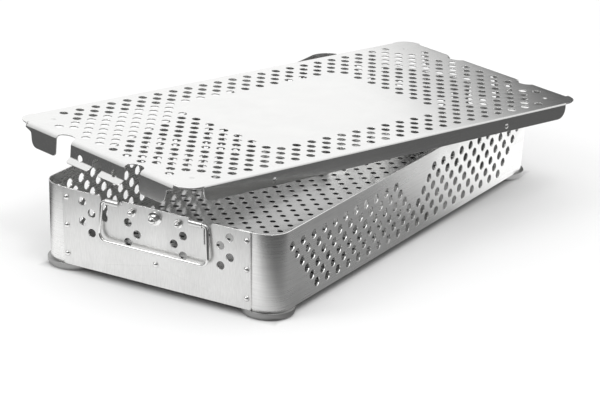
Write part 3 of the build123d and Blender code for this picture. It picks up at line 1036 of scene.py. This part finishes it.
sheet = punched("lid", lid_outline, lid_bores, lid_sheet, lid_steel)
shift(sheet, -lid_sheet)
for end in (-1, 1):
    fold(sheet, lip_start, (end, 0), lip_bend, lip_measure, lip_turn, 5, on_lip)
    fold(sheet, end_fold, (end, 0), -lid_bend, end_measure, pi / 2, 8, on_end)
    fold(sheet, side_fold, (0, end), -lid_side_bend, side_measure, pi / 2, 5, on_skirt)
lid = finished(sheet, "lid", lid_steel, lid_place, broken_edge=0.16, edge=edge_steel)
settle(lid, "lid", "lid_sheet", "lid")

# %% [markdown]
# ## Turned parts
#
# Rivets, screws and feet are turned parts: a profile spun about an axis. `lathe` does the
# same with a list of radii and heights. A profile that starts or ends off the axis gets a
# flat end there. A washer or a foot is bored right through, so its profile closes on itself.

# %% Lathe
def lathe(profile, around=32, bored=False, shape=None):
    """Spin a profile of (radius, height) about Z, in a new bmesh or a given one."""
    if shape is None:
        shape = bmesh.new()
    rings = []
    for radius, height in profile:
        turns = [2 * pi * step / around for step in range(around if radius else 1)]
        rings.append([
            shape.verts.new((radius * cos(turn), radius * sin(turn), height)) for turn in turns
        ])
    for low_ring, high_ring in zip(rings, rings[1:] + (rings[:1] if bored else [])):
        for step in range(around):
            below = [low_ring[turn % len(low_ring)] for turn in (step, step + 1)]
            above = [high_ring[turn % len(high_ring)] for turn in (step + 1, step)]
            shape.faces.new(dict.fromkeys(below + above))
    for ring in (rings[0][::-1], rings[-1]):
        if len(ring) > 1 and not bored:
            shape.faces.new(ring)
    bmesh.ops.recalc_face_normals(shape, faces=shape.faces[:])
    return shape


def dome(radius, height, base, sign=1, steps=6):
    """Profile of a cap of a ball, from its rim to its top on the axis."""
    ball = (radius**2 + height**2) / (2 * height)
    widest = atan2(radius, ball - height)
    points = []
    for step in range(steps + 1):
        angle = widest * (1 - step / steps)
        rise = ball * cos(angle) - (ball - height)
        points.append((ball * sin(angle) if step < steps else 0, base + sign * rise))
    return points


print("a rivet's head has", len(dome(1, 1, 0)), "rings")

# %% [markdown]
# ## Setting the fasteners with Geometry Nodes
#
# The same rivet sits in fourteen holes. The tree takes the holes as points and one rivet as
# an object, puts a copy on each point and makes the copies real. Nuts, washers, screws and
# feet go through the same tree.

# %% The setting tree
tree, given = new_tree("set fasteners", {
    "Geometry": "Geometry", "Fastener": "Object", "Material": "Material",
})
part = add_node(tree, "GeometryNodeObjectInfo", {"Object": given["Fastener"]})
copies = add_node(tree, "GeometryNodeInstanceOnPoints", {
    "Points": given["Geometry"], "Instance": part.outputs["Geometry"],
})
setting_tree = close_real(tree, given, copies)


def set_parts(
    name, spots, shape, place, material=bright_steel, body="basket",
    slot="polished_fasteners", broken_edge=0.15, node=True,
):
    """Copy one part, given as a bmesh, to each spot, and settle the result."""
    part_mesh = bpy.data.meshes.new(name + "_part")
    shape.to_mesh(part_mesh)
    shape.free()
    part = link_mesh(part_mesh, name + "_part")
    points = bpy.data.meshes.new(name + "_points")
    points.from_pydata(spots, [], [])
    copies = run_tree(points, setting_tree, {"Fastener": part, "Material": material})
    bpy.data.objects.remove(part)
    bpy.data.meshes.remove(part_mesh)
    piece = finished(copies, name, material, place, broken_edge, smooth_angle=50)
    settle(piece, body, slot, *([name] if node else []))

# %% [markdown]
# ## Rivets, nuts and screws
#
# The plates are riveted to the walls and the floor. The middle row holds the snap that the
# lid's lip springs over: two small cap nuts and a larger one with its own flange.

# %% Rivets
rivet_head = (3.0, 2.2)
rivet_tail = (2.6, 0.9)
tail_round = 0.4
tail_end = -wall_sheet - rivet_tail[1]
rivet_profile = [
    (0, tail_end), (rivet_tail[0] - tail_round, tail_end),
    (rivet_tail[0], -wall_sheet - tail_round), (rivet_tail[0], -wall_sheet),
    (rivet_shank, -wall_sheet), (rivet_shank, plate_sheet),
] + dome(*rivet_head, plate_sheet)
rivet_spots = [(side * rivet_reach, -drop, 0) for side in (-1, 1) for drop in rivet_drops]
rivet_spots.append((0, -middle_rivet_drop, 0))
for end, place in end_places.items():
    set_parts("rivets_" + end, rivet_spots, lathe(rivet_profile), place)

# %% Washers, cap nuts and their screws
nut_spots = [(side * nut_reach, -nut_drop, 0) for side in (-1, 1)]
washer = (4.2, 0.8)
nut_flats = 5.5
nut_height = 2.4
nut_seat = plate_sheet + washer[1]
cap_inset = 0.1
cap_sink = 0.3
corner_share = 0.94
corner_drop = 0.3
washer_bore = screw_shank + bore_fit
washer_profile = [
    (washer_bore, plate_sheet), (washer[0], plate_sheet),
    (washer[0], nut_seat), (washer_bore, nut_seat),
]


def cap_nut(flats, base, top, height):
    """A hexagon with its corners turned down and a cap of some height on top."""
    inner, corner = flats / 2 - cap_inset, flats / 2 / cos(pi / 6)
    shape = lathe([(0, top - cap_sink), (inner, top - cap_sink)] + dome(inner, height, top))
    return lathe([
        (corner_share * corner, base), (corner, base + corner_drop),
        (corner, top - corner_drop), (corner_share * corner, top),
    ], 6, shape=shape)


def cap_screw(shank, top, head, rise):
    """Profile of a screw from its end down to its round head."""
    return [(0, top), (shank, top), (shank, 0)] + dome(head, rise, 0, -1)


snap_screw = cap_screw(screw_shank, nut_seat + nut_height, 2.8, 1.8)
for end, place in end_places.items():
    for name, shape in (
        ("washers_" + end, lathe(washer_profile, bored=True)),
        ("cap_nuts_" + end, cap_nut(nut_flats, nut_seat, nut_seat + nut_height, nut_height)),
        ("snap_screws_" + end, lathe(snap_screw)),
    ):
        set_parts(name, nut_spots, shape, place)

# %% Middle nut and its screw
middle_spots = [(0, -middle_nut_drop, 0)]
flange = (7.0, 1.4)
middle_flats = 8.0
middle_height = 3.6
nut_sunk = 0.2
middle_seat = plate_sheet + flange[1]
flange_profile = [
    (0, plate_sheet), (flange[0], plate_sheet), (flange[0], plate_sheet + 0.7),
    (flange[0] - 0.8, middle_seat), (0, middle_seat),
]
middle_top = middle_seat + middle_height
middle_screw = cap_screw(middle_shank, middle_top, 4.4, 2.6)
for end, place in end_places.items():
    nut = cap_nut(middle_flats, middle_seat - nut_sunk, middle_top, middle_height)
    lathe(flange_profile, shape=nut)
    set_parts("centre_nut_" + end, middle_spots, nut, place)
    set_parts("centre_screw_" + end, middle_spots, lathe(middle_screw), place)

# %% [markdown]
# ## Feet
#
# Four thick discs hold the basket off the table, so that steam can pass under it. Each has a
# rounded lower edge and a recess for the screw that comes up through the floor.

# %% Feet and their screws
foot_round = 3.4
foot_top_round = 0.6
recess = (4.6, 3.0)


def arc(centre, radius, first, last, steps=6):
    """Points of an arc in a profile, between two angles in degrees."""
    points = []
    for step in range(steps + 1):
        angle = radians(first + (last - first) * step / steps)
        points.append((centre[0] + radius * cos(angle), centre[1] + radius * sin(angle)))
    return points


foot_profile = [(recess[0], 0)]
foot_profile += arc((foot_radius - foot_round, foot_round), foot_round, -90, 0)
top_centre = (foot_radius - foot_top_round, foot_height - foot_top_round)
foot_profile += arc(top_centre, foot_top_round, 0, 90, 3)
foot_profile += [(foot_bore, foot_height), (foot_bore, recess[1]), (recess[0], recess[1])]
foot_names = ("foot_front_right", "foot_front_left", "foot_rear_right", "foot_rear_left")
# The feet take the dark finish, whose tone is painted shade.
for name, spot in zip(foot_names, foot_spots):
    foot = lathe(foot_profile, 72, bored=True)
    set_parts(name, [spot], foot, to_metres, foot_steel, slot="feet")
screw_head = (4.2, 2.2)
floor_top = foot_height + floor_sheet
foot_screw = [(0, recess[1] - screw_head[1]), (screw_head[0], recess[1] - screw_head[1])]
foot_screw += [(screw_head[0], recess[1]), (foot_bore - bore_fit, recess[1])]
foot_screw += [(foot_bore - bore_fit, floor_top)] + dome(screw_head[0], 1.2, floor_top)
set_parts("foot_screws", foot_spots, lathe(foot_screw), to_metres)

# %% [markdown]
# ## Handles
#
# Each handle is a single wire with four bends. A path with rounded corners goes in, and the
# tree runs a circle along it and closes both ends. The wire turns in the knuckles and hangs
# plumb, a little away from the leaning plate.

# %% The wire tree
tree, given = new_tree("bent wire", {
    "Geometry": "Geometry", "Radius": "Float", "Sides": "Int", "Material": "Material",
})
path = add_node(tree, "GeometryNodeMeshToCurve", {"Mesh": given["Geometry"]})
ring = add_node(tree, "GeometryNodeCurvePrimitiveCircle", {
    "Resolution": given["Sides"], "Radius": given["Radius"],
})
tube = add_node(tree, "GeometryNodeCurveToMesh", {
    "Curve": path, "Profile Curve": ring, "Fill Caps": True,
})
wire_tree = close_real(tree, given, tube)

# %% Bend the handles
handle_top = 56.4
handle_bottom = 58.8
handle_drop = 38.8
handle_end = knuckle_inner + 0.6
handle_corners = [
    (-handle_end, 0, 0), (-handle_top, 0, 4.5), (-handle_bottom, -handle_drop, 7.5),
    (handle_bottom, -handle_drop, 7.5), (handle_top, 0, 4.5), (handle_end, 0, 0),
]
pivot = front_place @ Vector((0, -roll_radius, plate_sheet + roll_bore))
hanging_turn = axes_matrix((0, -1, 0), (0, 0, 1), (-1, 0, 0))
hang = Matrix.Translation(pivot) @ hanging_turn @ to_metres
for end, place in (("front", hang), ("rear", half_turn @ hang)):
    points = rounded(handle_corners, 10)
    path = bpy.data.meshes.new("handle_path")
    edges = [(turn, turn + 1) for turn in range(len(points) - 1)]
    path.from_pydata([(x, y, 0) for x, y in points], edges, [])
    tube = run_tree(path, wire_tree, {"Radius": wire / 2, "Sides": 24, "Material": wire_steel})
    bmesh.ops.recalc_face_normals(tube, faces=tube.faces[:])
    name = "handle_" + end
    handle = finished(tube, name, wire_steel, place, 0.3, segments=3, smooth_angle=60)
    settle(handle, end + "_handle", "handle_wire", name)

# %% [markdown]
# ## Marks on the lid
#
# Two small bumps stand out from each skirt, and a light punch mark sits near each corner.
# Both are turned shapes too, so the same tree sets them on the lid.

# %% Bumps and punch marks
bump = (2.6, 0.8)
bump_reach = 157.0
bump_depth = 9.8
bump_spots = [(side * bump_reach, -bump_depth, 0) for side in (-1, 1)]
bump_profile = [(0, -0.4), (bump[0], -0.4)] + dome(*bump, 0)


def skirt_place(side):
    """Where the middle of a skirt is on the lid, with Z outwards; side is -1 or 1."""
    turn = axes_matrix((-side, 0, 0), (0, 0, 1), (0, side, 0))
    return lid_place @ (Matrix.Translation((0, side * lid_half_width, 0)) @ turn)


on_lid = {"body": "lid", "slot": "lid_sheet", "broken_edge": 0, "node": False}
for name, side in (("lid_bumps_right", -1), ("lid_bumps_left", 1)):
    set_parts(name, bump_spots, lathe(bump_profile), skirt_place(side), **on_lid)
mark_spots = at_corners(*punch_mark[:2])
mark_profile = [(0, -lid_sheet), (punch_mark[2], -lid_sheet), (punch_mark[2], 0)]
mark_profile += [(2.1, -0.08), (0.9, -0.75), (0, -0.85)]
set_parts("lid_marks", mark_spots, lathe(mark_profile, 20), lid_place, **on_lid)
